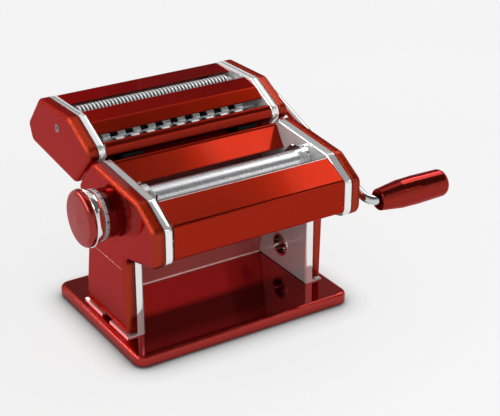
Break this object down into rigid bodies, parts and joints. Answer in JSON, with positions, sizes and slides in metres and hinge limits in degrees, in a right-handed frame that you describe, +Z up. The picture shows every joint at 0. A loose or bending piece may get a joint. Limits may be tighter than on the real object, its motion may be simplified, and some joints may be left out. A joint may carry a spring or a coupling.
{
  "type": "pasta machine",
  "caption": "Hand-cranked dough roller with a thickness knob and a slide-on noodle cutter, red covers on chromed side plates over a flat base.",
  "frame": {"origin": "on the table under the middle of the base, midway between the side plates", "axes": "+X along the rollers to the crank side, +Y to the back where the cutter is, +Z up"},
  "size_m": [0.3073, 0.2348, 0.1731],
  "materials": {
    "red_paint": "clear gloss over metallic red",
    "chrome": "mirror",
    "aluminium": "polished and turned",
    "steel": "zinc plated",
    "rubber": "matt",
    "red_plastic": "gloss red",
    "bush_plastic": "natural nylon"
  },
  "bodies": {
    "frame": {"base_plate": "red_paint", "rubber_feet": "rubber", "base_screws": "steel", "side_plate_left": "chrome", "side_plate_right": "chrome", "side_cover_left": "red_paint", "side_cover_right": "red_paint", "front_cover": "red_paint", "feed_plate": "red_paint", "back_panel": "red_paint", "tie_rods": "steel", "tie_nuts": "steel", "side_guide_right": "chrome", "side_guide_left": "chrome", "front_scraper": "steel", "drive_bush_right": "bush_plastic", "drive_bush_left": "bush_plastic", "dial_collar": "red_plastic", "dial_ring": "chrome", "clamp_socket": "chrome", "cutter_rails": "steel"},
    "drive": {"drive_roller": "aluminium", "drive_gear": "steel"},
    "carriage": {"roller_link_right": "steel", "roller_link_left": "steel", "link_tie_rod": "steel", "rear_scraper": "steel"},
    "idle": {"idle_roller": "aluminium", "idle_gear": "steel"},
    "adjuster": {"adjuster_shaft": "steel"},
    "knob": {"knob_skirt": "chrome", "knob_cap": "red_plastic", "knob_pin": "steel", "knob_spring": "steel"},
    "cutter": {"cutter_plate_right": "chrome", "cutter_plate_left": "chrome", "cutter_cap_right": "red_paint", "cutter_cap_left": "red_paint", "cap_screw": "steel", "cutter_bushes": "bush_plastic", "cutter_tie_rods": "steel", "cutter_rear_sheet": "red_paint", "cutter_middle_sheet": "red_paint", "cutter_trough": "red_paint", "cutter_shoes": "steel", "fine_combs": "steel", "wide_combs": "steel"},
    "fine_front": {"fine_cutter_front": "aluminium", "fine_gear_front": "steel"},
    "fine_rear": {"fine_cutter_rear": "aluminium", "fine_gear_rear": "steel"},
    "wide_rear": {"wide_cutter_rear": "aluminium", "wide_gear_rear": "steel"},
    "wide_front": {"wide_cutter_front": "aluminium", "wide_gear_front": "steel"},
    "crank": {"crank_rod": "chrome"},
    "grip": {"crank_grip": "red_plastic"}
  },
  "joints": [
    {"name": "drive_spin", "type": "hinge", "parent": "frame", "child": "drive", "pos_m": [0, -0.0393, 0.126], "axis": [1, 0, 0], "continuous": true},
    {"name": "knob_turn", "type": "hinge", "parent": "frame", "child": "adjuster", "pos_m": [0, -0.01564, 0.11395], "axis": [1, 0, 0], "range_deg": [0, 162]},
    {"name": "spacing_slide", "type": "slide", "parent": "frame", "child": "carriage", "axis": [0, 0.891, -0.454], "range_m": [0, 0.0041]},
    {"name": "idle_spin", "type": "hinge", "parent": "carriage", "child": "idle", "pos_m": [0, -0.01747, 0.11488], "axis": [1, 0, 0], "continuous": true},
    {"name": "knob_pull", "type": "slide", "parent": "adjuster", "child": "knob", "axis": [-1, 0, 0], "range_m": [0, 0.004], "stiffness_N_per_m": 900, "springref_m": -0.003},
    {"name": "cutter_slide", "type": "slide", "parent": "frame", "child": "cutter", "axis": [0, -0.6969, 0.7172], "range_m": [0, 0.06]},
    {"name": "fine_spin", "type": "hinge", "parent": "cutter", "child": "fine_front", "pos_m": [0, 0.063, 0.15499], "axis": [1, 0, 0], "continuous": true},
    {"name": "fine_rear_spin", "type": "hinge", "parent": "cutter", "child": "fine_rear", "pos_m": [0, 0.07709, 0.16012], "axis": [1, 0, 0], "continuous": true},
    {"name": "wide_spin", "type": "hinge", "parent": "cutter", "child": "wide_rear", "pos_m": [0, 0.0424, 0.14949], "axis": [1, 0, 0], "continuous": true},
    {"name": "wide_front_spin", "type": "hinge", "parent": "cutter", "child": "wide_front", "pos_m": [0, 0.02748, 0.14792], "axis": [1, 0, 0], "continuous": true},
    {"name": "crank_withdraw", "type": "slide", "parent": "fine_front", "child": "crank", "axis": [1, 0, 0], "range_m": [0, 0.02]},
    {"name": "grip_spin", "type": "hinge", "parent": "crank", "child": "grip", "pos_m": [0, -0.092, 0.10199], "axis": [1, 0, 0], "continuous": true}
  ],
  "couplings": [
    {"joint": "idle_spin", "follows": "drive_spin", "ratio": -1},
    {"joint": "knob_turn", "follows": "spacing_slide", "rad_per_m": 689.62},
    {"joint": "fine_rear_spin", "follows": "fine_spin", "ratio": -1},
    {"joint": "wide_front_spin", "follows": "wide_spin", "ratio": -1}
  ]
}
